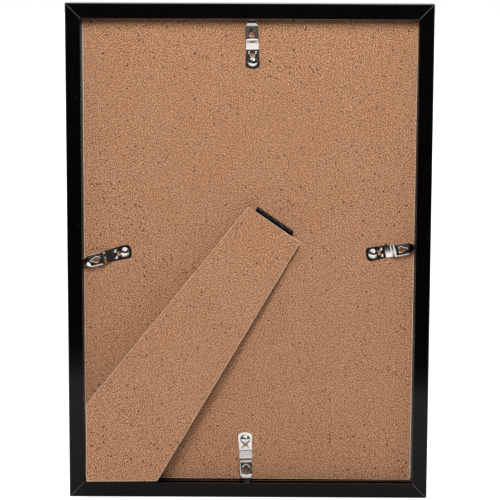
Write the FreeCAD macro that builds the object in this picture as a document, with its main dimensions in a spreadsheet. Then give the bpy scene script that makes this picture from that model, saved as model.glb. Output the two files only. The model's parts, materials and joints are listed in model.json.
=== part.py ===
import FreeCAD, Part
import os
import re
import Sketcher

# Photo frame for one A4 picture, with an easel strut and turn clips on its back.
# X runs to the right as the back is seen, Z runs up and the back looks along -Y.
# The origin is the middle of the bottom edge, halfway through the moulding's depth.
# Lengths are in millimetres and angles in degrees.

sizes = {
    "picture_width": 210.0,
    "picture_height": 297.0,
    "rabbet_play": 1.0,
    "rail_width": 9.5,
    "rail_depth": 18.0,
    "lip_overlap": 4.5,
    "lip_thickness": 3.0,
    "arris_radius": 0.8,
    "front_radius": 1.4,
    "ridge_height": 3.6,
    "channel_height": 2.3,
    "channel_depth": 4.2,
    "channel_flare": 1.6,
    "flange_edge": 1.3,
    "pane_thickness": 2.0,
    "insert_thickness": 0.3,
    "insert_play": 0.2,
    "board_thickness": 3.0,
    "board_play": 0.5,
    "board_turn": 0.15,
    "top_rivet_shift": 1.6,
    "top_rivet_inset": 27.2,
    "top_clip_turn": 1.5,
    "left_rivet_shift": -0.1,
    "left_rivet_inset": 26.35,
    "left_clip_turn": 13.3,
    "bottom_rivet_shift": 1.75,
    "bottom_rivet_inset": 26.85,
    "bottom_clip_turn": 2.4,
    "right_rivet_shift": 0.0,
    "right_rivet_inset": 26.65,
    "right_clip_turn": 11.4,
    "clip_thickness": 0.5,
    "clip_float": 0.05,
    "clip_tail": 4.0,
    "clip_tail_corner": 1.3,
    "clip_tail_bow": 9.0,
    "clip_heel_width": 9.1,
    "clip_bend_width": 8.1,
    "clip_plate_width": 7.5,
    "clip_tongue_width": 3.8,
    "clip_heel_run": 7.4,
    "ramp_run": 4.5,
    "ramp_angle": 26.0,
    "step_run": 1.6,
    "step_angle": 50.0,
    "crest_run": 0.9,
    "crest_angle": 22.0,
    "plate_run": 8.05,
    "plate_angle": 6.0,
    "fall_run": 3.3,
    "fall_angle": 20.0,
    "tongue_run": 1.9,
    "tab_run": 2.3,
    "tab_angle": 18.0,
    "keyhole_place": 17.8,
    "keyhole_radius": 1.85,
    "keyhole_point": 4.2,
    "window_place": 3.95,
    "window_width": 3.1,
    "window_height": 1.8,
    "pimple_place": 5.65,
    "pimple_spacing": 4.2,
    "pimple_radius": 0.9,
    "pimple_height": 0.4,
    "pimple_round": 0.3,
    "rivet_shank_radius": 1.2,
    "rivet_head_radius": 3.2,
    "rivet_head_height": 1.5,
    "rivet_tail_radius": 2.1,
    "rivet_tail_height": 0.5,
    "hole_clearance": 0.05,
    "strut_thickness": 3.0,
    "strut_top_width": 40.2,
    "strut_top_offset": 0.7,
    "strut_length": 205.1,
    "strut_corner_offset": 3.9,
    "strut_foot_width": 45.0,
    "strut_foot_height": 49.6,
    "strut_angle": 34.7,
    "strut_side_gap": 2.3,
    "strut_foot_gap": 4.0,
    "strut_rest_opening": 6.0,
    "strut_end_gap": 0.4,
    "hinge_length": 28.0,
    "barrel_radius": 1.5,
    "pin_radius": 0.8,
    "leaf_length": 14.0,
    "leaf_thickness": 0.6,
    "knuckle_gap": 0.15,
    "notch_gap": 0.3,
    "tack_spacing": 18.0,
    "tack_inset": 5.0,
    "tack_head_radius": 1.7,
    "tack_head_height": 0.4,
    "tack_shank_radius": 0.7,
    "tack_grip": 2.2,
    "cut_overrun": 1.0,
}

# Each corner of a knuckled barrel falls on one of these shares of its length.
knuckle_shares = (-0.5, -0.3, -0.1, 0.1, 0.3, 0.5)

doc = FreeCAD.newDocument("easel_back_photo_frame")
sheet = doc.addObject("Spreadsheet::Sheet", "Sizes")
for row, (alias, number) in enumerate(sizes.items(), start=1):
    sheet.set(f"A{row}", alias)
    sheet.set(f"B{row}", str(number))
    sheet.setAlias(f"B{row}", alias)
doc.recompute()


def cells(text):
    """The sum in text, with every size's name pointing at its cell."""
    return re.sub(r"[a-z_]+", lambda word: "Sizes." + word[0] if word[0] in sizes else word[0], text)


def value(text):
    """The number that a sum of sizes comes to."""
    return float(sheet.evalExpression(cells(text)))


def bind(feature, prop, text):
    """Ties one property of a feature to a sum of sizes."""
    feature.setExpression(prop, cells(text))


# Sums that several pieces share.
rabbet_width = "(picture_width + 2 * rabbet_play)"
rabbet_height = "(picture_height + 2 * rabbet_play)"
outer_width = f"({rabbet_width} + 2 * rail_width)"
outer_height = f"({rabbet_height} + 2 * rail_width)"
pane_back = "(rail_depth / 2 - lip_thickness - pane_thickness)"
board_back = f"({pane_back} - insert_thickness - board_thickness)"
clip_space = "(clip_thickness + 2 * clip_float)"


def new_body(label):
    """An empty body under its own name."""
    body = doc.addObject("PartDesign::Body", label)
    body.Label = label
    return body


def new_sketch(body, role, offset=None):
    """A sketch on one of the body's own origin planes, lifted by a sum of sizes."""
    sketch = body.newObject("Sketcher::SketchObject", f"{body.Label}_sketch")
    plane = next(item for item in body.Origin.OriginFeatures if item.Role == role)
    sketch.AttachmentSupport = (plane, [""])
    sketch.MapMode = "FlatFace"
    if offset:
        bind(sketch, "AttachmentOffset.Base.z", offset)
    return sketch


def hold(sketch, kind, text, *where):
    """One dimension of a sketch, tied to a sum of sizes."""
    index = sketch.addConstraint(Sketcher.Constraint(kind, *where, value(text)))
    bind(sketch, f"Constraints[{index}]", text)


def outline(sketch, corners):
    """A closed run round the corners, anticlockwise: a corner is (across, up), or
    (across, up, radius) where an outward arc leads on to the next one."""
    first = sketch.GeometryCount
    places = [FreeCAD.Vector(value(corner[0]), value(corner[1]), 0) for corner in corners]
    for index, corner in enumerate(corners):
        start = places[index]
        end = places[(index + 1) % len(places)]
        if len(corner) == 2:
            sketch.addGeometry(Part.LineSegment(start, end))
            continue
        radius = value(corner[2])
        run = end - start
        inward = FreeCAD.Vector(-run.y, run.x, 0).normalize()
        centre = start + run * 0.5 + inward * (radius ** 2 - run.Length ** 2 / 4) ** 0.5
        ring = Part.Circle(centre, FreeCAD.Vector(0, 0, 1), radius)
        sketch.addGeometry(Part.ArcOfCircle(ring, ring.parameter(start), ring.parameter(end)))
    for index, corner in enumerate(corners):
        piece = first + index
        following = first + (index + 1) % len(corners)
        sketch.addConstraint(Sketcher.Constraint("Coincident", piece, 2, following, 1))
        hold(sketch, "DistanceX", corner[0], -1, 1, piece, 1)
        hold(sketch, "DistanceY", corner[1], -1, 1, piece, 1)
        if len(corner) == 3:
            hold(sketch, "Radius", corner[2], piece)


def rectangle(sketch, left, right, low, high):
    """A rectangle between four sums of sizes."""
    outline(sketch, [(left, low), (right, low), (right, high), (left, high)])


def circle(sketch, across, up, radius):
    """A circle placed from the sketch's origin."""
    middle = FreeCAD.Vector(value(across), value(up), 0)
    index = sketch.addGeometry(Part.Circle(middle, FreeCAD.Vector(0, 0, 1), value(radius)))
    hold(sketch, "DistanceX", across, -1, 1, index, 3)
    hold(sketch, "DistanceY", up, -1, 1, index, 3)
    hold(sketch, "Radius", radius, index)


def pad(body, sketch, length, side="One side", downwards=False):
    """A pad of the sketch, to one side or both."""
    feature = body.newObject("PartDesign::Pad", f"{body.Label}_pad")
    feature.Profile = sketch
    feature.SideType = side
    feature.Reversed = downwards
    bind(feature, "Length", length)
    doc.recompute()
    return feature


def pocket(body, sketch, length=None, upwards=False):
    """A pocket of the sketch, to a depth, or both ways through everything."""
    before = body.Shape.Volume
    feature = body.newObject("PartDesign::Pocket", f"{body.Label}_pocket")
    feature.Profile = sketch
    if length:
        feature.Reversed = upwards
        bind(feature, "Length", length)
    else:
        feature.Type = "ThroughAll"
        feature.SideType = "Symmetric"
    doc.recompute()
    if not body.Shape.Volume < before:
        raise RuntimeError(f"a pocket of {body.Label} cut nothing")
    return feature


def long_edges(shape, places):
    """Names of the edges along X that pass through the given (y, z) places."""
    found = []
    for number, edge in enumerate(shape.Edges, start=1):
        ends = [vertex.Point for vertex in edge.Vertexes]
        if len(ends) < 2 or (ends[0] - ends[1]).cross(FreeCAD.Vector(1, 0, 0)).Length > edge.Length / 1000:
            continue
        for y, z in places:
            if abs(ends[0].y - y) + abs(ends[0].z - z) < edge.Length / 1000:
                found.append(f"Edge{number}")
    return found


def round_over(body, feature, places, radius):
    """Fillets along X at the given (y, z) sums of sizes."""
    spots = [(value(y), value(z)) for y, z in places]
    names = long_edges(feature.Shape, spots)
    if len(names) != len(places):
        raise RuntimeError(f"{body.Label} has {len(names)} edges to round, not {len(places)}")
    fillet = body.newObject("PartDesign::Fillet", f"{body.Label}_fillet")
    fillet.Base = (feature, names)
    bind(fillet, "Radius", radius)
    doc.recompute()
    return fillet


# Rails: one extruded plastic moulding, sawn to length with mitred ends. The rabbet for
# the pane and the board opens inwards, and a flared channel above it takes the clips.
def rail(label, length, placement):
    """One rail, drawn as the bottom one: outer face down, back towards -Y."""
    body = new_body(label)
    section = new_sketch(body, "YZ_Plane")
    back = "(-rail_depth / 2)"
    front = "(rail_depth / 2)"
    lip_back = "(rail_depth / 2 - lip_thickness)"
    lip_edge = "(rail_width + lip_overlap)"
    channel_floor = f"({board_back} - ridge_height)"
    channel_roof = f"({board_back} - ridge_height - channel_height)"
    outline(section, [
        (back, "0"),
        (front, "0"),
        (front, lip_edge),
        (lip_back, lip_edge),
        (lip_back, "rail_width"),
        (channel_floor, "rail_width"),
        (channel_floor, "rail_width - channel_depth"),
        (channel_roof, "rail_width - channel_depth"),
        (channel_roof, "rail_width - channel_flare"),
        (f"{back} + flange_edge", "rail_width"),
        (back, "rail_width"),
    ])
    bar = pad(body, section, length, side="Symmetric")
    rounded = round_over(body, bar, [(back, "0")], "arris_radius")
    round_over(body, rounded, [(front, "0"), (front, lip_edge)], "front_radius")
    mitres = new_sketch(body, "XZ_Plane")
    end = f"({length} / 2 + cut_overrun)"
    reach = f"({length} / 2 - {lip_edge} - cut_overrun)"
    top = f"({lip_edge} + cut_overrun)"
    outline(mitres, [(end, "-cut_overrun"), (end, top), (reach, top)])
    outline(mitres, [(f"-{end}", "-cut_overrun"), (f"-{reach}", top), (f"-{end}", top)])
    pocket(body, mitres)
    body.Placement = placement
    return body


up = FreeCAD.Vector(0, 0, 1)
across = FreeCAD.Vector(1, 0, 0)
through = FreeCAD.Vector(0, 1, 0)
half_width = FreeCAD.Vector(value(outer_width) / 2, 0, 0)
half_height = FreeCAD.Vector(0, 0, value(outer_height) / 2)
rails = [
    rail("bottom_rail", outer_width, FreeCAD.Placement(FreeCAD.Vector(), FreeCAD.Rotation(through, 0))),
    rail("top_rail", outer_width, FreeCAD.Placement(half_height * 2, FreeCAD.Rotation(through, 180))),
    rail("left_rail", outer_height, FreeCAD.Placement(half_height - half_width, FreeCAD.Rotation(through, 90))),
    rail("right_rail", outer_height, FreeCAD.Placement(half_height + half_width, FreeCAD.Rotation(through, -90))),
]


# Pane and insert: a sheet of glass against the front lip, with a white card behind it.
def flat_sheet(label, width, height, thickness, back):
    """A sheet centred in the opening, its back face at the given depth."""
    box = doc.addObject("Part::Box", label)
    box.Label = label
    bind(box, "Length", width)
    bind(box, "Width", thickness)
    bind(box, "Height", height)
    bind(box, "Placement.Base.x", f"-{width} / 2")
    bind(box, "Placement.Base.y", back)
    bind(box, "Placement.Base.z", f"({outer_height} - {height}) / 2")
    return box


insert_width = f"({rabbet_width} - 2 * insert_play)"
insert_height = f"({rabbet_height} - 2 * insert_play)"
sheets = [
    flat_sheet("glazing_pane", "picture_width", "picture_height", "pane_thickness", pane_back),
    flat_sheet("insert_sheet", insert_width, insert_height, "insert_thickness",
               f"({pane_back} - insert_thickness)"),
]

# Everything on the board is drawn as the back is seen, in the board's own plane: X right,
# Y up and Z out towards the viewer, from the board's back face. The board lies a little
# askew in its rabbet, and what it carries lies askew with it.
board_plane = FreeCAD.Placement(
    half_height + through * value(board_back),
    FreeCAD.Rotation(across, 90) * FreeCAD.Rotation(up, -value("board_turn")))


def on_board(right, upwards, out, turn):
    """A place on the board, from its middle and its back face."""
    place = FreeCAD.Vector(value(right), value(upwards), value(out))
    return board_plane * FreeCAD.Placement(place, FreeCAD.Rotation(up, turn))


# Clip places: each rivet's distance in from its rabbet wall and off the rail's middle.
rivets = {
    "top": ("top_rivet_shift", f"({rabbet_height} / 2 - top_rivet_inset)"),
    "left": (f"(left_rivet_inset - {rabbet_width} / 2)", "left_rivet_shift"),
    "bottom": ("-bottom_rivet_shift", f"(bottom_rivet_inset - {rabbet_height} / 2)"),
    "right": (f"({rabbet_width} / 2 - right_rivet_inset)", "right_rivet_shift"),
}

# Hinge place: the shut strut's corner stands just clear of the bottom left corner of the
# rabbet, and the barrel's middle follows from the strut's own length and slant.
corner_right = f"(strut_side_gap - {rabbet_width} / 2)"
corner_up = f"(strut_foot_gap - {rabbet_height} / 2)"
hinge_right = f"({corner_right} + strut_corner_offset * cos(strut_angle) + strut_length * sin(strut_angle))"
hinge_up = f"({corner_up} - strut_corner_offset * sin(strut_angle) + strut_length * cos(strut_angle))"
hinge_plane = on_board(hinge_right, hinge_up, "barrel_radius", -value("strut_angle"))
swung_plane = hinge_plane * FreeCAD.Placement(
    FreeCAD.Vector(), FreeCAD.Rotation(across, -value("strut_rest_opening")))
flipped = FreeCAD.Placement(FreeCAD.Vector(), FreeCAD.Rotation(through, 180))

tack_up = "(tack_inset - leaf_length)"
tack_places = [(f"({sign}tack_spacing / 2)", tack_up) for sign in ("+", "-")]


# Back board: 3 mm hardboard, drilled for the rivets, whose tails sit sunk in its front.
def back_board():
    body = new_body("back_board")
    face = new_sketch(body, "XY_Plane")
    width = f"({rabbet_width} / 2 - board_play)"
    height = f"({rabbet_height} / 2 - board_play)"
    rectangle(face, f"-{width}", width, f"-{height}", height)
    pad(body, face, "board_thickness", downwards=True)
    holes = new_sketch(body, "XY_Plane")
    sinks = new_sketch(body, "XY_Plane", "-board_thickness")
    for right, upwards in rivets.values():
        circle(holes, right, upwards, "rivet_shank_radius + hole_clearance")
        circle(sinks, right, upwards, "rivet_tail_radius + hole_clearance")
    pocket(body, holes)
    pocket(body, sinks, "rivet_tail_height + hole_clearance", upwards=True)
    body.Placement = board_plane
    return body


# Easel strut: hardboard sawn to a long taper, with a foot edge for each way of standing.
def strut_corner(right, upwards):
    """A corner of the strut's foot, so far right and up from its lowest corner."""
    return (
        f"-strut_corner_offset + {right} * cos(strut_angle) - {upwards} * sin(strut_angle)",
        f"-strut_length + {right} * sin(strut_angle) + {upwards} * cos(strut_angle)",
    )


def easel_strut():
    body = new_body("easel_strut")
    face = new_sketch(body, "XY_Plane", "barrel_radius")
    end = "-(barrel_radius + strut_end_gap)"
    outline(face, [
        strut_corner("0", "0"),
        strut_corner("strut_foot_width", "0"),
        ("strut_top_offset + strut_top_width / 2", end),
        ("strut_top_offset - strut_top_width / 2", end),
        strut_corner("0", "strut_foot_height"),
    ])
    pad(body, face, "strut_thickness")
    body.Placement = swung_plane
    return body


# Tack holes: blind, in the face that a hinge leaf lies on, a little wider than the tacks.
def tack_holes(body, plane, level, into_front):
    """Blind holes for one leaf's tacks, drawn in the hinge's own plane."""
    for right, upwards in tack_places:
        drill = doc.addObject("Part::Cylinder", f"{body.Label}_drill")
        bind(drill, "Radius", "tack_shank_radius + hole_clearance")
        bind(drill, "Height", "tack_grip + hole_clearance + cut_overrun")
        start = "-(tack_grip + hole_clearance)" if into_front else "-cut_overrun"
        place = FreeCAD.Vector(value(right), value(upwards), value(f"{level} + {start}"))
        drill.Placement = plane * FreeCAD.Placement(place, FreeCAD.Rotation())
        yield drill


def drilled(body, label, drills):
    """The body less its tack holes, under the body's own name."""
    body.Label = f"{label}_blank"
    holes = doc.addObject("Part::MultiFuse", f"{label}_holes")
    holes.Shapes = list(drills)
    cut = doc.addObject("Part::Cut", label)
    cut.Base = body
    cut.Tool = holes
    cut.Label = label
    return cut


# Turn clips: spring steel strip, pressed and bent, free to turn under its rivet's head.
def strip_corners(lift):
    """Corners of one face of the bent strip, from the heel's bend outwards: the strip's
    lower face when lift is 0, and its upper face when lift is 1."""
    runs = [
        ("clip_heel_run", "0"),
        ("ramp_run", "ramp_angle"),
        ("step_run", "step_angle"),
        ("crest_run", "crest_angle"),
        ("plate_run", "plate_angle"),
        ("fall_run", "-fall_angle"),
        ("tongue_run", "0"),
        ("tab_run", "tab_angle"),
    ]
    along = "0"
    height = "0"
    corners = []
    for (run, slope), (_, following) in zip(runs, runs[1:] + [("", "tab_angle")]):
        along = f"{along} + {run}"
        height = f"{height} + {run} * tan({slope})"
        middle = f"(({slope} + {following}) / 2)"
        spread = f"cos(({following} - {slope}) / 2)"
        corners.append((
            f"{along} - {lift} * clip_thickness * sin({middle}) / {spread}",
            f"{height} + {lift} * clip_thickness * cos({middle}) / {spread}",
        ))
    return corners


def turn_clip(side, placement):
    body = new_body(f"turn_clip_{side}")
    reach = "(clip_heel_run + ramp_run + step_run + crest_run + plate_run + fall_run + tongue_run + tab_run)"
    shoulder = "(clip_heel_run + ramp_run + step_run + crest_run + plate_run)"
    ceiling = "(2 * (ramp_run * tan(ramp_angle) + step_run * tan(step_angle)))"
    plan = new_sketch(body, "XY_Plane")
    half_heel = "clip_heel_width / 2"
    outline(plan, [
        (f"-{half_heel} + clip_tail_corner", "-clip_tail", "clip_tail_bow"),
        (f"{half_heel} - clip_tail_corner", "-clip_tail"),
        (half_heel, "clip_tail_corner - clip_tail"),
        ("clip_bend_width / 2", "clip_heel_run"),
        ("clip_plate_width / 2", shoulder),
        ("clip_tongue_width / 2", f"{shoulder} + fall_run"),
        ("clip_tongue_width / 2", reach),
        ("-clip_tongue_width / 2", reach),
        ("-clip_tongue_width / 2", f"{shoulder} + fall_run"),
        ("-clip_plate_width / 2", shoulder),
        ("-clip_bend_width / 2", "clip_heel_run"),
        (f"-{half_heel}", "clip_tail_corner - clip_tail"),
    ])
    pad(body, plan, ceiling)
    spare = new_sketch(body, "YZ_Plane")
    start = f"-{reach}"
    stop = f"({reach} + cut_overrun)"
    upper = strip_corners("1")[:-1]
    lower = strip_corners("0")[:-1]
    tip = f"{lower[-1][1]} + (tab_run + cut_overrun) * tan(tab_angle)"
    outline(spare, [(start, "clip_thickness")] + upper + [
        (stop, f"{tip} + clip_thickness / cos(tab_angle)"),
        (stop, f"{ceiling} + cut_overrun"),
        (start, f"{ceiling} + cut_overrun"),
    ])
    outline(spare, [("clip_heel_run", "0"), ("clip_heel_run", "-cut_overrun"), (stop, "-cut_overrun")]
            + [(stop, tip)] + lower[:0:-1])
    pocket(body, spare)
    holes = new_sketch(body, "XY_Plane")
    circle(holes, "0", "0", "rivet_shank_radius + hole_clearance")
    circle(holes, "0", "keyhole_place", "keyhole_radius")
    rectangle(holes, "-window_width / 2", "window_width / 2",
              "window_place - window_height / 2", "window_place + window_height / 2")
    pocket(body, holes)
    point = new_sketch(body, "XY_Plane")
    flank = "keyhole_radius * sqrt(1 - (keyhole_radius / keyhole_point) ^ 2)"
    rise = "keyhole_radius ^ 2 / keyhole_point"
    outline(point, [
        (f"-{flank}", f"keyhole_place + {rise}"),
        (flank, f"keyhole_place + {rise}"),
        ("0", "keyhole_place + keyhole_point"),
    ])
    pocket(body, point)
    pimples = new_sketch(body, "XY_Plane", "clip_thickness")
    for sign in ("+", "-"):
        circle(pimples, f"({sign}pimple_spacing / 2)", "pimple_place", "pimple_radius")
    bumps = pad(body, pimples, "pimple_height")
    crown = value("clip_thickness + pimple_height")
    rims = [f"Edge{number}" for number, edge in enumerate(bumps.Shape.Edges, start=1)
            if edge.Closed and abs(edge.BoundBox.ZMin - crown) < value("pimple_round")]
    if len(rims) != 2:
        raise RuntimeError(f"{body.Label} has {len(rims)} pimples, not 2")
    fillet = body.newObject("PartDesign::Fillet", f"{body.Label}_fillet")
    fillet.Base = (bumps, rims)
    bind(fillet, "Radius", "pimple_round")
    body.Placement = placement
    return body


# Rivets: a domed head over the clip, a shank through the board and a tail sunk in its front.
def clip_rivet(side, placement):
    body = new_body(f"clip_rivet_{side}")
    half = new_sketch(body, "XZ_Plane")
    outline(half, [
        ("0", "-board_thickness"),
        ("rivet_tail_radius", "-board_thickness"),
        ("rivet_tail_radius", "rivet_tail_height - board_thickness"),
        ("rivet_shank_radius", "rivet_tail_height - board_thickness"),
        ("rivet_shank_radius", clip_space),
        ("rivet_head_radius", clip_space, "(rivet_head_radius ^ 2 + rivet_head_height ^ 2) / (2 * rivet_head_height)"),
        ("0", f"{clip_space} + rivet_head_height"),
    ])
    turned = body.newObject("PartDesign::Revolution", f"{body.Label}_turned")
    turned.Profile = half
    turned.ReferenceAxis = (half, ["V_Axis"])
    turned.Angle = 360
    body.Placement = placement
    return body


# Hinge: two pressed steel leaves, rolled into knuckles round one pin.
def hinge_leaf(label, first_notch, placement):
    """A leaf below the barrel, notched for the other leaf's knuckles."""
    body = new_body(label)
    plate = new_sketch(body, "XY_Plane", "-barrel_radius")
    rectangle(plate, "-hinge_length / 2", "hinge_length / 2", "-leaf_length", "0")
    pad(body, plate, "leaf_thickness")
    barrel = new_sketch(body, "YZ_Plane")
    circle(barrel, "0", "0", "barrel_radius")
    pad(body, barrel, "hinge_length", side="Symmetric")
    bore = new_sketch(body, "YZ_Plane")
    circle(bore, "0", "0", "pin_radius + hole_clearance")
    pocket(body, bore)
    notches = new_sketch(body, "XY_Plane")
    for low, high in list(zip(knuckle_shares, knuckle_shares[1:]))[first_notch::2]:
        start = f"({low} * hinge_length - knuckle_gap / 2)"
        stop = f"({high} * hinge_length + knuckle_gap / 2)"
        rectangle(notches, start, stop, "-(barrel_radius + notch_gap)", "barrel_radius + cut_overrun")
    pocket(body, notches)
    holes = new_sketch(body, "XY_Plane")
    for across_leaf, up_leaf in tack_places:
        circle(holes, across_leaf, up_leaf, "tack_shank_radius + hole_clearance")
    pocket(body, holes)
    body.Placement = placement
    return body


def hinge_tacks(label, placement):
    """The tacks of one leaf, their heads on the leaf's inner face."""
    body = new_body(label)
    seat = "(leaf_thickness - barrel_radius)"
    heads = new_sketch(body, "XY_Plane", seat)
    shanks = new_sketch(body, "XY_Plane", seat)
    for right, upwards in tack_places:
        circle(heads, right, upwards, "tack_head_radius")
        circle(shanks, right, upwards, "tack_shank_radius")
    pad(body, heads, "tack_head_height")
    pad(body, shanks, "leaf_thickness + tack_grip", downwards=True)
    body.Placement = placement
    return body


def hinge_pin():
    pin = doc.addObject("Part::Cylinder", "hinge_pin")
    bind(pin, "Radius", "pin_radius")
    bind(pin, "Height", "hinge_length")
    start = FreeCAD.Vector(value("-hinge_length / 2"), 0, 0)
    pin.Placement = hinge_plane * FreeCAD.Placement(start, FreeCAD.Rotation(through, 90))
    return pin


pieces = rails + sheets
board = back_board()
pieces.append(drilled(board, "back_board", tack_holes(board, hinge_plane, "-barrel_radius", True)))
strut = easel_strut()
pieces.append(drilled(strut, "easel_strut", tack_holes(strut, swung_plane, "barrel_radius", False)))
for quarter, (side, (right, upwards)) in enumerate(rivets.items()):
    turn = 90 * quarter + value(f"{side}_clip_turn")
    pieces.append(turn_clip(side, on_board(right, upwards, "clip_float", turn)))
    pieces.append(clip_rivet(side, on_board(right, upwards, "0", 0)))
pieces.append(hinge_leaf("hinge_board_leaf", 1, hinge_plane))
pieces.append(hinge_leaf("hinge_strut_leaf", 0, swung_plane * flipped))
pieces.append(hinge_tacks("board_leaf_tacks", hinge_plane))
pieces.append(hinge_tacks("strut_leaf_tacks", swung_plane * flipped))
pieces.append(hinge_pin())
doc.recompute()

for item in doc.Objects:
    if "Invalid" in item.State or "Error" in item.State:
        raise RuntimeError(f"{item.Name} failed: {item.State}")
os.makedirs("parts", exist_ok=True)
for piece in pieces:
    if piece.Shape.isNull() or not piece.Shape.isValid():
        raise RuntimeError(f"{piece.Label} has no valid shape")
    piece.Shape.exportStep(f"parts/{piece.Label}.step")
    print(piece.Label, len(piece.Shape.Solids), round(piece.Shape.Volume, 1))
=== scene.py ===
import bpy
import json
import numpy as np
from math import cos, radians, sin, tan
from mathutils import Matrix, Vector


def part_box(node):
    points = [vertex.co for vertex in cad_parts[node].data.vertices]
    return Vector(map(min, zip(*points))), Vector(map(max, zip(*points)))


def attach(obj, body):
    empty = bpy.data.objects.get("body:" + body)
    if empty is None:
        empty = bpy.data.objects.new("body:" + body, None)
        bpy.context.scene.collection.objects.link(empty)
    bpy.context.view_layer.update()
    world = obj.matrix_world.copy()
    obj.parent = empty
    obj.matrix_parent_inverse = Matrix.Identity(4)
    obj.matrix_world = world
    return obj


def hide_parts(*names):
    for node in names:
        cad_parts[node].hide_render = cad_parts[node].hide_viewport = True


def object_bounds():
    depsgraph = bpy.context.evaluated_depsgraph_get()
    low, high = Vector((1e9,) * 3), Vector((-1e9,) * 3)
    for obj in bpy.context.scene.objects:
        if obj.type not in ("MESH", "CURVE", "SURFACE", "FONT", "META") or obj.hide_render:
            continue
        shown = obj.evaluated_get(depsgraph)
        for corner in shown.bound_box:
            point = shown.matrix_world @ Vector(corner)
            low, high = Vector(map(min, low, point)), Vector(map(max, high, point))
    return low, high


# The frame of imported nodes, and its box before anything is dressed. Blender works in metres,
# and the sizes of the pieces are written in millimetres times MM.
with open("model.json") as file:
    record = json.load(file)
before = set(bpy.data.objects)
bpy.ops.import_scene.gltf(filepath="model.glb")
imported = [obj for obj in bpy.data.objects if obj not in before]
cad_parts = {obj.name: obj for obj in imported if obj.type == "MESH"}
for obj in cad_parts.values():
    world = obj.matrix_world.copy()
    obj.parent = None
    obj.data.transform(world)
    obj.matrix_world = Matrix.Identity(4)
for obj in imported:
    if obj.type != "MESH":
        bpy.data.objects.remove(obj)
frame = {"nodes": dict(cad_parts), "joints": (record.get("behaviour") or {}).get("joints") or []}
cad_low, cad_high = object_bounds()
nodes = frame["nodes"]
MM = 0.001


# Moulding: a black styrene bar, foamed and extruded, sawn at 45 degrees and glued into a
# rectangle. Its polished skin keeps faint lines of the die, and the pale core shows at the mitres.
def add(tree, kind, inputs=None, **settings):
    """A shader node with its settings. An input takes a plain value, or another node's output."""
    made = tree.nodes.new(kind)
    for name, setting in settings.items():
        setattr(made, name, setting)
    for name, given in (inputs or {}).items():
        if isinstance(given, bpy.types.NodeSocket):
            tree.links.new(given, made.inputs[name])
        else:
            made.inputs[name].default_value = given
    return made


def stops(tree, factor, table):
    """A colour ramp through (place, colour) pairs, where a colour may be one grey level."""
    made = add(tree, "ShaderNodeValToRGB", {"Fac": factor})
    elements = made.color_ramp.elements
    while len(elements) < len(table):
        elements.new(0.5)
    for element, (place, colour) in zip(elements, table):
        element.position = place
        element.color = (colour,) * 3 + (1,) if isinstance(colour, float) else (*colour, 1)
    return made.outputs["Color"]


def reckon(tree, operation, first, second=0.0):
    """The result of one arithmetic node."""
    return add(tree, "ShaderNodeMath", {0: first, 1: second}, operation=operation).outputs[0]


def part_of(tree, mask, share):
    """A mask weakened to a share of itself."""
    return reckon(tree, "MULTIPLY", mask, share)


def blend(tree, factor, first, second, how="MIX"):
    """Two colours mixed by a factor. A plain colour is opaque."""
    first, second = ((*given, 1) if isinstance(given, tuple) else given for given in (first, second))
    made = add(tree, "ShaderNodeMix", {0: factor, 6: first, 7: second}, data_type="RGBA", blend_type=how)
    return made.outputs[2]


def noise(tree, place, cells, detail=2.0, roughness=0.5):
    """Fractal noise between 0 and 1, with so many cells to the metre."""
    return add(tree, "ShaderNodeTexNoise", {
        "Vector": place, "Scale": cells, "Detail": detail, "Roughness": roughness}).outputs["Fac"]


def group(name, inputs, output):
    """An empty shader group with named sockets, its inputs' ends and its output's end."""
    tree = bpy.data.node_groups.new(name, "ShaderNodeTree")
    for label, kind in inputs:
        tree.interface.new_socket(label, in_out="INPUT", socket_type=kind)
    tree.interface.new_socket(output, in_out="OUTPUT", socket_type="NodeSocketFloat")
    return tree, add(tree, "NodeGroupInput").outputs, add(tree, "NodeGroupOutput").inputs[0]


VECTOR, FLOAT = "NodeSocketVector", "NodeSocketFloat"

# Specks: round spots of a given size, one in each random cell that happens to hold one.
specks, given, result = group("specks", [("Place", VECTOR), ("Cells", FLOAT), ("Size", FLOAT),
                                         ("Share", FLOAT)], "Mask")
cell = add(specks, "ShaderNodeTexVoronoi", {"Vector": given["Place"], "Scale": given["Cells"]})
near = reckon(specks, "LESS_THAN", cell.outputs["Distance"], given["Size"])
chance = add(specks, "ShaderNodeSeparateColor", {0: cell.outputs["Color"]}).outputs["Red"]
holds_one = reckon(specks, "LESS_THAN", chance, given["Share"])
specks.links.new(reckon(specks, "MULTIPLY", near, holds_one), result)

# Hairlines: fine parallel lines along one direction, from noise squeezed across it.
hairlines, given, result = group("hairlines", [("Place", VECTOR), ("Squeeze", VECTOR)], "Lines")
squeezed = add(hairlines, "ShaderNodeVectorMath", {0: given["Place"], 1: given["Squeeze"]},
               operation="MULTIPLY").outputs[0]
hairlines.links.new(noise(hairlines, squeezed, cells=1.0, detail=3.0, roughness=0.6), result)

# Mitre seam: where |half width - |x|| and |half height - |z - middle|| are equal, to a hair's
# width that a little noise makes uneven.
frame_half_width, frame_half_height = cad_high[0], (cad_high[2] - cad_low[2]) / 2
seam, given, result = group("mitre_seam", [("Place", VECTOR), ("Width", FLOAT)], "Mask")
parts = add(seam, "ShaderNodeSeparateXYZ", {0: given["Place"]}).outputs
from_side = reckon(seam, "SUBTRACT", frame_half_width, reckon(seam, "ABSOLUTE", parts["X"]))
level = reckon(seam, "ABSOLUTE", reckon(seam, "SUBTRACT", parts["Z"], frame_half_height))
from_end = reckon(seam, "SUBTRACT", frame_half_height, level)
off_line = reckon(seam, "ABSOLUTE", reckon(seam, "SUBTRACT", from_side, from_end))
ragged = reckon(seam, "MULTIPLY", noise(seam, given["Place"], cells=900.0), given["Width"])
seam.links.new(reckon(seam, "LESS_THAN", off_line, ragged), result)

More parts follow.
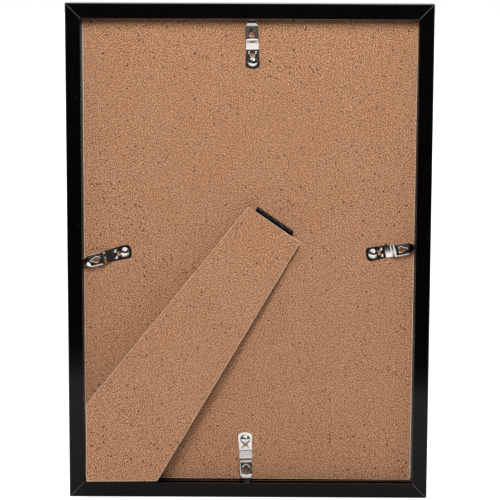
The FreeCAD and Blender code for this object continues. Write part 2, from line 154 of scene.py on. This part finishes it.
# Sharp edges: 1 along a piece's sharp edges and 0 on its flats, from how far a rounded normal
# turns away from the true one. Their product is the cosine of that turn. With it the moulding's
# edges get a painted highlight, and the hardboard's edges get pale fibre and a painted highlight.
flat_cosine, edge_cosine = 0.99, 0.9
sharp_edges, given, result = group("sharp_edges", [("Reach", FLOAT)], "Mask")
rounded = add(sharp_edges, "ShaderNodeBevel", {"Radius": given["Reach"]}, samples=6).outputs[0]
true = add(sharp_edges, "ShaderNodeNewGeometry").outputs["True Normal"]
cosine = add(sharp_edges, "ShaderNodeVectorMath", {0: rounded, 1: true},
             operation="DOT_PRODUCT").outputs["Value"]
turned_away = add(sharp_edges, "ShaderNodeMapRange", {
    "Value": cosine, "From Min": flat_cosine, "From Max": edge_cosine}).outputs[0]
sharp_edges.links.new(turned_away, result)


def place_group(tree, made, **inputs):
    """The output of the group, put into a tree with its inputs."""
    return add(tree, "ShaderNodeGroup", inputs, node_tree=made).outputs[0]


def new_finish(name):
    """A material, its tree, its Principled shader and the piece's own coordinates."""
    made = bpy.data.materials.new(name)
    made.use_nodes = True
    tree = made.node_tree
    return made, tree, tree.nodes["Principled BSDF"], add(tree, "ShaderNodeTexCoord").outputs["Object"]


def relief(tree, shader, height, depth):
    """A bump on the shader, so many metres from black to white."""
    bump = add(tree, "ShaderNodeBump", {"Height": height, "Distance": depth})
    tree.links.new(bump.outputs[0], shader.inputs["Normal"])


def dress(node, material):
    """The node takes the material in every slot."""
    for socket in nodes[node].material_slots:
        socket.material = material


def soften(piece, width):
    """Breaks the square edges of a piece with a narrow round, as sawing and handling do. The
    mesh's doubled points are welded first."""
    weld = piece.modifiers.new("weld", "WELD")
    weld.merge_threshold = 0.002 * MM
    edge = piece.modifiers.new("edge", "BEVEL")
    edge.width = width
    edge.segments = 2
    edge.limit_method = "ANGLE"
    edge.angle_limit = radians(40)
    edge.harden_normals = True


def moulding(name, squeeze):
    """Black polished styrene with the die's lines along the bar, dust and the mitres' pale seam."""
    skin_dark, skin_pale = (0.0010, 0.0006, 0.0006), (0.0022, 0.0014, 0.0014)
    dust, core, rubbed_and_edge_highlight = (0.12, 0.11, 0.10), (0.16, 0.145, 0.135), (0.09, 0.082, 0.076)
    made, tree, shader, place = new_finish(name)
    lines = place_group(tree, hairlines, Place=place, Squeeze=squeeze)
    cloud = noise(tree, place, cells=90.0, detail=3.0)
    base = stops(tree, cloud, [(0.3, skin_dark), (0.7, skin_pale)])
    dusty = place_group(tree, specks, Place=place, Cells=230.0, Size=0.055, Share=0.16)
    base = blend(tree, dusty, base, dust)
    joint = place_group(tree, seam, Place=place, Width=0.42 * MM)
    base = blend(tree, joint, base, core)
    # Painted highlight: the arrises are paled, standing in for light caught on their rounding.
    worn_and_lit_edges = place_group(tree, sharp_edges, Reach=0.3 * MM)
    base = blend(tree, part_of(tree, worn_and_lit_edges, share=0.5), base, rubbed_and_edge_highlight)
    tree.links.new(base, shader.inputs["Base Color"])
    shader.inputs["Specular IOR Level"].default_value = 0.16
    tree.links.new(stops(tree, lines, [(0.3, 0.09), (0.7, 0.16)]), shader.inputs["Roughness"])
    relief(tree, shader, lines, depth=0.0015 * MM)
    return made


lines_across, lines_along = 3000.0, 12.0
level_bar = moulding("moulding_level", (lines_along, lines_across, lines_across))
upright_bar = moulding("moulding_upright", (lines_across, lines_across, lines_along))
for rail, bar in (("bottom_rail", level_bar), ("top_rail", level_bar),
                  ("left_rail", upright_bar), ("right_rail", upright_bar)):
    dress(rail, bar)
    soften(nodes[rail], width=0.12 * MM)


# Pane: 2 mm float glass, cut to the picture's size and held to the front lip by the card and
# the board. Light on its way to the card passes through it almost unweakened.
glass, tree, shader, place = new_finish("float_glass")
shader.inputs["Base Color"].default_value = (0.985, 0.993, 0.988, 1)
shader.inputs["Transmission Weight"].default_value = 1.0
shader.inputs["IOR"].default_value = 1.5
smears = stops(tree, noise(tree, place, cells=40.0, detail=4.0), [(0.45, 0.0), (0.75, 0.03)])
tree.links.new(smears, shader.inputs["Roughness"])
path = add(tree, "ShaderNodeLightPath").outputs
passing = reckon(tree, "MAXIMUM", path["Is Shadow Ray"], path["Is Diffuse Ray"])
solid = reckon(tree, "SUBTRACT", 1.0, part_of(tree, passing, share=0.92))
tree.links.new(solid, shader.inputs["Alpha"])
dress("glazing_pane", glass)


# Insert: a plain white card, uncoated, with the soft tooth of card. It lies loose between the
# glass and the board, which keep it flat.
card_dull, card_clean = (0.86, 0.85, 0.83), (0.89, 0.88, 0.86)
card, tree, shader, place = new_finish("white_card")
tooth = noise(tree, place, cells=2600.0, detail=3.0, roughness=0.7)
base = stops(tree, noise(tree, place, cells=35.0), [(0.3, card_dull), (0.7, card_clean)])
tree.links.new(base, shader.inputs["Base Color"])
tree.links.new(stops(tree, tooth, [(0.3, 0.7), (0.7, 0.85)]), shader.inputs["Roughness"])
relief(tree, shader, tooth, depth=0.03 * MM)
dress("insert_sheet", card)


# Back board and strut: hardboard, wood fibre steamed and pressed into sheet, with dark bark
# flecks, pale stray fibres and a furry sawn edge, paled by a painted highlight along its arrises
# and darkened by painted shade on its sides. Both are cut from the same sheet.
fibre_dark, fibre, fibre_pale = (0.050, 0.018, 0.009), (0.365, 0.172, 0.088), (0.93, 0.52, 0.30)
damp, dry = (0.97, 0.92, 0.89), (1.0, 1.0, 1.0)
bark, stray = (0.035, 0.013, 0.008), (0.70, 0.47, 0.34)
frayed_and_highlight, sawn_side_shade = (1.0, 0.78, 0.60), (0.085, 0.036, 0.018)
fibre_turn = radians(27)
hardboard, tree, shader, place = new_finish("hardboard")
patches = noise(tree, place, cells=40.0, detail=3.0, roughness=0.55)
turned = add(tree, "ShaderNodeMapping", {
    "Vector": place, "Rotation": (0, fibre_turn, 0), "Scale": (1, 0, 1)}).outputs[0]
mottle = noise(tree, turned, cells=400.0, roughness=0.6)
grain = noise(tree, turned, cells=1700.0, detail=1.6, roughness=0.8)
tone = reckon(tree, "ADD", part_of(tree, mottle, share=0.08), part_of(tree, grain, share=0.92))
base = stops(tree, tone, [(0.425, fibre_dark), (0.50, fibre), (0.572, fibre_pale)])
base = blend(tree, 1.0, base, stops(tree, patches, [(0.3, damp), (0.7, dry)]), "MULTIPLY")
flecks = place_group(tree, specks, Place=place, Cells=400.0, Size=0.23, Share=0.16)
base = blend(tree, part_of(tree, flecks, share=0.95), base, bark)
strands = place_group(tree, hairlines, Place=turned, Squeeze=(2300.0, 900.0, 330.0))
base = blend(tree, stops(tree, strands, [(0.64, 0.0), (0.72, 0.6)]), base, stray)
# Painted highlight: the arrises are paled, partly as frayed fibre and partly as light caught along them.
worn_and_lit_edges = place_group(tree, sharp_edges, Reach=0.75 * MM)
base = blend(tree, part_of(tree, worn_and_lit_edges, share=0.9), base, frayed_and_highlight)
# Painted shade: faces that look sideways, the sawn sides, are darkened nearly to black, far beyond their
# own fibre, standing in for the shade on them.
normal = add(tree, "ShaderNodeTexCoord").outputs["Normal"]
facing = reckon(tree, "ABSOLUTE", add(tree, "ShaderNodeSeparateXYZ", {0: normal}).outputs["Y"])
sawn = add(tree, "ShaderNodeMapRange", {
    "Value": facing, "From Min": 0.75, "From Max": 0.3, "To Max": 0.85}).outputs[0]
base = blend(tree, sawn, base, sawn_side_shade)
tree.links.new(base, shader.inputs["Base Color"])
tree.links.new(stops(tree, mottle, [(0.3, 0.72), (0.7, 0.88)]), shader.inputs["Roughness"])
shader.inputs["Specular IOR Level"].default_value = 0.2
relief(tree, shader, tone, depth=0.06 * MM)
for panel in ("back_board", "easel_strut"):
    dress(panel, hardboard)
    soften(nodes[panel], width=0.25 * MM)


# Turn clips: spring steel strip, blanked, pierced, bent in one press stroke and nickel
# plated. Each one turns under its rivet and springs into the channel of its rail.
def nickel(name, tint):
    """Bright plate over steel, with fine rubbing marks and a slight ripple."""
    rubbed_and_edge_highlight = tuple(0.93 * part for part in tint)
    made, tree, shader, place = new_finish(name)
    marks = noise(tree, place, cells=500.0, detail=3.0, roughness=0.6)
    tree.links.new(stops(tree, marks, [(0.35, rubbed_and_edge_highlight), (0.65, tint)]), shader.inputs["Base Color"])
    shader.inputs["Metallic"].default_value = 1.0
    tree.links.new(stops(tree, marks, [(0.3, 0.06), (0.7, 0.11)]), shader.inputs["Roughness"])
    relief(tree, shader, noise(tree, place, cells=350.0), depth=0.006 * MM)
    return made


# The strip is drawn in millimetres: a across it and b along it from the rivet. Its runs end at
# these places, from the heel under the rivet's head to the tab that springs into the channel.
heel_end, ramp_end, step_end, crest_end, plate_end, fall_end, tongue_end, tab_end = (
    7.4, 11.9, 13.5, 14.4, 22.45, 25.75, 27.65, 29.95)
clip_bends = (heel_end, ramp_end, step_end, crest_end, plate_end, fall_end, tongue_end)
bend_length = 0.8
strip_wall, heel_gap = 0.5, 0.05
tail_end, tail_corner, tail_bow = -4.0, 1.3, 9.0
heel_half, ramp_half, plate_half, tongue_half = 4.55, 4.05, 3.75, 1.9
blank_edges = [
    (tail_end, heel_half - tail_corner),
    (tail_end + tail_corner, heel_half),
    (heel_end, ramp_half),
    (plate_end, plate_half),
    (fall_end, tongue_half),
    (tab_end, tongue_half),
]
rivet_hole = 1.25
window_place, window_half_width, window_half_height = 3.95, 1.55, 0.9
keyhole_place, keyhole_radius, keyhole_point = 17.8, 1.85, 4.2
pimple_place, pimple_side, pimple_radius, pimple_rise = 5.65, 2.1, 0.95, 0.42
crest_bow = 0.5
camber, camber_start, camber_fade = 0.003, 7.0, 1.0
face_start, face_stop, face_fade = 14.0, 23.4, 1.2
edge_fall, edge_reach = 0.07, 0.3
rim_fall, rim_reach = 0.16, 0.45


def eased(place, width):
    """The integral of a step that rises evenly over a width: 0 well before it, place well after."""
    return np.clip(place + width / 2, 0, width) ** 2 / (2 * width) + np.maximum(place - width / 2, 0)


def half_width(b):
    """Half the strip's width at b along it, in straight runs between the blank's corners."""
    return np.interp(b, *zip(*blank_edges))


def teardrop_gap(a, b):
    """Distance outside the keyhole: to its circle, or to its flank within the flank's angle."""
    turn = np.arccos(keyhole_radius / keyhole_point)
    round_gap = np.hypot(a, b) - keyhole_radius
    flank_gap = np.abs(a) * np.sin(turn) + b * np.cos(turn) - keyhole_radius
    return np.where(np.arctan2(np.abs(a), b) < turn, flank_gap, round_gap)


def bent_height(a, b, angles):
    """The strip's rise from its bends: each adds its change of slope times an eased ramp from its
    corner. The crest's last bend is bowed towards the plate by bow (1 - (a / half)^2)."""
    slopes = [tan(radians(angle)) for angle in angles]
    height = np.zeros(np.shape(a))
    for corner, slope, before in zip(clip_bends, slopes, [0.0, *slopes]):
        bow = crest_bow * (1 - (a / plate_half) ** 2) if corner == crest_end else 0.0
        height = height + (slope - before) * eased(b - corner - bow, bend_length)
    return height


def pressed_height(a, b, roll):
    """What the press adds to the bends. Pimples rise as (1 - r^2)^2 and a camber takes a^2 away.
    The keyhole's rim and the plate's edges fall as squares, and roll tilts the plate."""
    height = -camber * a ** 2 * np.clip((b - camber_start) / camber_fade, 0, 1)
    for side in (-1, 1):
        reach = ((a - side * pimple_side) ** 2 + (b - pimple_place) ** 2) / pimple_radius ** 2
        height = height + pimple_rise * np.maximum(1 - reach, 0) ** 2
    on_plate = np.clip((b - face_start) / face_fade, 0, 1) * np.clip((face_stop - b) / face_fade, 0, 1)
    over_edge = np.maximum((np.abs(a) - half_width(b) + edge_reach) / edge_reach, 0)
    over_rim = np.maximum(1 - teardrop_gap(a, b - keyhole_place) / rim_reach, 0)
    height = height - on_plate * edge_fall * over_edge ** 2 - rim_fall * over_rim ** 2
    return height - on_plate * a * tan(radians(roll))


# The board's back face, and the grid of points that the strip is drawn on.
board_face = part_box("back_board")[0][1] / MM
strip_columns = 36
ring_crowding = 1.5
shared_decimals = 4
closed_up = 1e-9


def plain_run(start, stop, rows):
    """Plan of a run of strip: rows of points from edge to edge, a = u * half_width(b)."""
    u, v = np.meshgrid(np.linspace(-1, 1, strip_columns + 1), np.linspace(0, 1, rows + 1))
    b = start(u) * (1 - v) + stop * v if callable(start) else start + (stop - start) * v
    return u * half_width(np.maximum(b, tail_end + tail_corner)), b


def pierced_run(start, stop, rows, middle, hole, rings):
    """Plan of a run of strip round a hole: the run's own border drawn in towards the hole's
    outline, which is given as a distance from its middle in every direction."""
    u = np.linspace(-1, 1, strip_columns + 1)
    v = np.linspace(start, stop, rows + 1)
    border = np.concatenate([
        np.stack([u * half_width(start), np.full_like(u, start)], 1)[:-1],
        np.stack([half_width(v), v], 1)[:-1],
        np.stack([-u * half_width(stop), np.full_like(u, stop)], 1)[:-1],
        np.stack([-half_width(v[::-1]), v[::-1]], 1)])
    way = np.arctan2(border[:, 0], border[:, 1] - middle)
    inner = np.stack([np.sin(way), np.cos(way)], 1) * hole(way)[:, None] + [0, middle]
    share = (np.linspace(0, 1, rings + 1) ** ring_crowding)[:, None, None]
    ring = inner * (1 - share) + border * share
    return ring[:, :, 0], ring[:, :, 1]


def tail_line(u):
    """The blank's tail: an arc of the tail's bow, with its two corners cut off."""
    a = np.abs(u) * heel_half
    flat = heel_half - tail_corner
    arc = np.sqrt(tail_bow ** 2 - np.minimum(a, flat) ** 2) - np.sqrt(tail_bow ** 2 - flat ** 2)
    return tail_end - arc + np.maximum(a - flat, 0)


def round_hole(way):
    """Distance from the rivet hole's middle to its edge."""
    return np.full_like(way, rivet_hole)


def window(way):
    """Distance from the window's middle to its edge, the nearer of its two pairs of sides."""
    never_zero = 1e-6
    across = window_half_width / np.maximum(np.abs(np.sin(way)), never_zero)
    return np.minimum(across, window_half_height / np.maximum(np.abs(np.cos(way)), never_zero))


def teardrop(way):
    """Distance from the keyhole's middle to its outline: r, or r / cos(turn - |way|) on a flank."""
    turn = np.arccos(keyhole_radius / keyhole_point)
    return keyhole_radius / np.cos(np.maximum(turn - np.abs(way), 0))


# Each run of the grid: where it stops and its rows, then a hole's middle, outline and rings.
# The rows lie close together at a bend.
strip_runs = [
    (-2.0, 6),
    (2.3, 14, 0.0, round_hole, 6),
    (5.0, 10, window_place, window, 8),
    (7.0, 10),
    (7.9, 6),
    (11.4, 4),
    (15.0, 30),
    (22.3, 24, keyhole_place, teardrop, 16),
    (22.9, 5),
    (25.3, 4),
    (tab_end, 18),
]
strip_plans = []
start = tail_line
for stop, rows, *hole in strip_runs:
    strip_plans.append(pierced_run(start, stop, rows, *hole) if hole else plain_run(start, stop, rows))
    start = stop


def strip_mesh(name, rivet, turn, angles, roll):
    """All runs joined at their shared rows, raised by their heights and set on the board about
    the rivet: x = rivet + a cos - b sin, z = rivet + a sin + b cos, y = board - height."""
    plan, quads, count = [], [], 0
    for a, b in strip_plans:
        index = np.arange(a.size).reshape(a.shape) + count
        corners = [index[:-1, :-1], index[1:, :-1], index[1:, 1:], index[:-1, 1:]]
        quads.append(np.stack(corners, -1).reshape(-1, 4))
        plan.append(np.stack([a.ravel(), b.ravel()], 1))
        count += a.size
    plan, quads = np.concatenate(plan), np.concatenate(quads)
    shared = np.round(plan, shared_decimals)
    _, first, same = np.unique(shared, axis=0, return_index=True, return_inverse=True)
    plan, quads = plan[first], same.ravel()[quads]
    corner = plan[quads]
    diagonal, other = corner[:, 2] - corner[:, 0], corner[:, 3] - corner[:, 1]
    area = diagonal[:, 0] * other[:, 1] - diagonal[:, 1] * other[:, 0]
    quads[area < 0] = quads[area < 0][:, ::-1]
    quads = quads[np.abs(area) > closed_up]
    a, b = plan.T
    turned = radians(turn)
    height = strip_wall + heel_gap + bent_height(a, b, angles) + pressed_height(a, b, roll)
    points = np.stack([rivet[0] + a * cos(turned) - b * sin(turned), board_face - height,
                       rivet[1] + a * sin(turned) + b * cos(turned)], 1) * MM
    mesh = bpy.data.meshes.new(name)
    mesh.from_pydata(points.tolist(), [], quads.tolist())
    mesh.polygons.foreach_set("use_smooth", np.ones(len(mesh.polygons), bool))
    return mesh


# Each clip: its turn about its rivet, the slope of every run after the heel, and the roll of its
# plate, all in degrees and as it was sprung into place. Its rivet sits at its joint.
clip_seats = {
    "top": (1.35, (28.5, 54.0, 25.0, -1.0, -17.5, 0.0, 18.0), 0.0),
    "left": (103.15, (26.0, 54.0, 22.0, 2.0, -13.0, 0.0, 18.0), 0.0),
    "bottom": (182.25, (22.0, 54.0, 16.0, 7.2, -8.0, 2.0, 26.0), 0.0),
    "right": (281.25, (21.2, 54.0, 22.0, 4.0, -18.0, 0.0, 26.0), 0.5),
}
rivet_places = {joint["name"]: joint["pos_m"] for joint in frame["joints"]}
clip_nickel = nickel("nickel_strip", (0.76, 0.73, 0.69))
rivet_nickel = nickel("nickel_rivet", (0.80, 0.775, 0.74))
for side, (turn, angles, roll) in clip_seats.items():
    right, _, up = rivet_places[f"clip_{side}_turn"]
    mesh = strip_mesh(f"clip_strip_{side}", (right / MM, up / MM), turn, angles, roll)
    mesh.materials.append(clip_nickel)
    strip = bpy.data.objects.new(f"clip_strip_{side}", mesh)
    bpy.context.collection.objects.link(strip)
    wall = strip.modifiers.new("wall", "SOLIDIFY")
    wall.thickness = strip_wall * MM
    wall.offset = -1.0
    soften(strip, width=0.09 * MM)
    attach(strip, f"clip_{side}")
    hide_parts(f"turn_clip_{side}")
    dress(f"clip_rivet_{side}", rivet_nickel)


# Hinge: two leaves of pressed steel, rolled round a wire pin and tacked to the board and the
# strut. They are dipped in black enamel, chipped to the metal in places, and the pale chips are
# also painted glints along the barrel.
enamel_dark, enamel_pale, chip_glint = (0.003, 0.003, 0.0032), (0.007, 0.007, 0.0075), (0.55, 0.55, 0.53)
enamel, tree, shader, place = new_finish("black_enamel")
peel = noise(tree, place, cells=900.0)
base = stops(tree, peel, [(0.3, enamel_dark), (0.7, enamel_pale)])
# Painted highlight: the pale chips stand partly for chipped enamel and partly for glints on the barrel.
chips_and_glints = place_group(tree, specks, Place=place, Cells=480.0, Size=0.17, Share=0.16)
tree.links.new(blend(tree, chips_and_glints, base, chip_glint), shader.inputs["Base Color"])
tree.links.new(stops(tree, peel, [(0.3, 0.18), (0.7, 0.3)]), shader.inputs["Roughness"])
shader.inputs["Specular IOR Level"].default_value = 0.5
relief(tree, shader, peel, depth=0.03 * MM)
for piece in ("hinge_board_leaf", "hinge_strut_leaf", "board_leaf_tacks", "strut_leaf_tacks", "hinge_pin"):
    dress(piece, enamel)
for leaf in ("hinge_board_leaf", "hinge_strut_leaf"):
    soften(nodes[leaf], width=0.1 * MM)


# Floor: a pale studio sweep under and behind the frame, white to the eye and to reflections,
# which keeps the shadow. The studio's sizes are in metres.
def sheet_of(name, corners, material):
    """A flat sheet of the studio with the given corners."""
    mesh = bpy.data.meshes.new(name)
    mesh.from_pydata([(*corner, 0.0) for corner in corners], [], [range(len(corners))])
    mesh.materials.append(material)
    made = bpy.data.objects.new(name, mesh)
    bpy.context.collection.objects.link(made)
    return made


def seen_by_eye(tree, path):
    """1 for the rays that the camera sends, straight or through the glass."""
    return reckon(tree, "MAXIMUM", path["Is Camera Ray"], path["Is Transmission Ray"])


floor_near, floor_side, floor_far = 2.3, 6.0, 6.0
glow_start, glow_full, glow_least = 0.3, 1.4, 0.78
pale_floor, tree, shader, place = new_finish("pale_floor")
shader.inputs["Base Color"].default_value = (0.8, 0.8, 0.8, 1)
shader.inputs["Roughness"].default_value = 0.9
shader.inputs["Specular IOR Level"].default_value = 0.0
shader.inputs["Emission Color"].default_value = (1, 1, 1, 1)
away = add(tree, "ShaderNodeVectorMath", {0: place}, operation="LENGTH").outputs["Value"]
glow = add(tree, "ShaderNodeMapRange", {
    "Value": away, "From Min": glow_start, "From Max": glow_full, "To Min": glow_least,
    "To Max": 1.0}, interpolation_type="SMOOTHSTEP").outputs[0]
path = add(tree, "ShaderNodeLightPath").outputs
mirrored = part_of(tree, path["Is Glossy Ray"], share=0.35)
seen = reckon(tree, "MAXIMUM", seen_by_eye(tree, path), mirrored)
tree.links.new(reckon(tree, "MULTIPLY", seen, glow), shader.inputs["Emission Strength"])
sheet_of("floor", [(-floor_side, -floor_near), (floor_side, -floor_near), (floor_side, floor_far),
                   (-floor_side, floor_far)], pale_floor)

# Dark cloth: it lies on the floor behind the object from a slanting edge, unseen by the eye,
# so that only a strip of floor throws light up at the back, and the clips mirror its edge.
cloth_near, cloth_far, cloth_left, cloth_right, cloth_middle = -0.15, 0.0, -0.55, 1.45, -0.472
black_cloth, _, shader, _ = new_finish("black_cloth")
shader.inputs["Base Color"].default_value = (0.004, 0.004, 0.004, 1)
shader.inputs["Specular IOR Level"].default_value = 0.0
# Its faint glow is painted light, so that the clips mirror the cloth as a dim grey rather than black.
shader.inputs["Emission Color"].default_value = (0.018, 0.017, 0.016, 1)
shader.inputs["Emission Strength"].default_value = 1.0
cloth = sheet_of("floor_cloth", [
    (-floor_side, -floor_near), (floor_side, -floor_near), (floor_side, cloth_far),
    (cloth_right, cloth_far), (cloth_left, cloth_middle), (cloth_left, cloth_near),
    (-floor_side, cloth_near)], black_cloth)
cloth.location.z = 3 * MM
cloth.visible_camera = False
cloth.visible_transmission = False
cloth.visible_shadow = False

# World: white to the eye, and a dim even fill for light. In the clips and the moulding it shows
# the room behind the camera: dark at eye level, a grey strip straight back, pale overhead, and
# one bare lamp whose glint crosses the plates.
white, bare_lamp = (1, 1, 1), (40, 40, 40)
fill_behind, fill_ahead = 0.04, 1.1
bare_lamp_way, bare_lamp_reach = (0.380, -0.845, 0.377), radians(2.5)
room_tones = [(0.5, 0.03), (0.66, 0.05), (0.78, 0.27), (0.88, 0.65), (0.96, 1.0)]
grey_strip_tones = [(0.466, 0.03), (0.474, 0.16), (0.488, 0.16), (0.496, 0.04), (0.57, 0.08),
                    (0.65, 0.3), (0.73, 0.7), (0.80, 1.0)]
grey_strip_edge, room_edge = 0.42, 0.55
world = bpy.data.worlds.new("studio")
bpy.context.scene.world = world
world.use_nodes = True
tree = world.node_tree
sight = add(tree, "ShaderNodeTexCoord").outputs["Generated"]
way = add(tree, "ShaderNodeSeparateXYZ", {0: sight}).outputs
height = add(tree, "ShaderNodeMapRange", {"Value": way["Z"], "From Min": -1.0, "From Max": 1.0}).outputs[0]
room = stops(tree, height, room_tones)
grey_strip = stops(tree, height, grey_strip_tones)
aside = add(tree, "ShaderNodeMapRange", {
    "Value": reckon(tree, "ABSOLUTE", way["X"]), "From Min": grey_strip_edge,
    "From Max": room_edge}).outputs[0]
behind = blend(tree, aside, grey_strip, room)
ahead = add(tree, "ShaderNodeMapRange", {"Value": way["Y"], "From Min": 0.0, "From Max": 0.05}).outputs[0]
mirrored = blend(tree, ahead, behind, white)
toward = add(tree, "ShaderNodeVectorMath", {0: sight, 1: bare_lamp_way},
             operation="DOT_PRODUCT").outputs["Value"]
in_lamp = reckon(tree, "GREATER_THAN", toward, cos(bare_lamp_reach))
mirrored = blend(tree, in_lamp, mirrored, bare_lamp)
path = add(tree, "ShaderNodeLightPath").outputs
fill = stops(tree, way["Y"], [(0.0, fill_behind), (0.1, fill_ahead)])
level = blend(tree, path["Is Glossy Ray"], fill, mirrored)
background = tree.nodes["Background"]
tree.links.new(blend(tree, seen_by_eye(tree, path), level, white), background.inputs["Color"])


# Key lamp: one soft box above the camera, aimed at the frame's middle. It is the only lamp that
# lights the frame, and no piece mirrors it.
key_reach, key_rise, key_side = 0.82, radians(36), radians(-3)
key_width, key_height, key_power = 0.28, 0.35, 6.1
lamp = bpy.data.lights.new("key", "AREA")
lamp.shape = "RECTANGLE"
lamp.size, lamp.size_y = key_width, key_height
lamp.energy = key_power
key = bpy.data.objects.new("key", lamp)
away = Vector((-cos(key_rise) * sin(key_side), -cos(key_rise) * cos(key_side), sin(key_rise)))
key.location = Vector((0, 0, frame_half_height)) + away * key_reach
key.visible_glossy = False
key.rotation_mode = "QUATERNION"
key.rotation_quaternion = away.to_track_quat("Z", "Y")
bpy.context.collection.objects.link(key)

# Camera: where the photograph was taken from, solved from the frame's own corners.
focal_pixels = 2113.5
picture_pixels = 500
camera_place = (0.00784, -1.33325, 0.38107)
camera_turns = (80.623, -0.198, 0.342)
camera = bpy.data.objects.new("camera", bpy.data.cameras.new("camera"))
camera.location = camera_place
camera.rotation_euler = [radians(turn) for turn in camera_turns]
camera.data.sensor_width = 36.0
camera.data.lens = camera.data.sensor_width * focal_pixels / picture_pixels
bpy.context.collection.objects.link(camera)
bpy.context.scene.camera = camera
bpy.context.scene.view_settings.view_transform = "Standard"
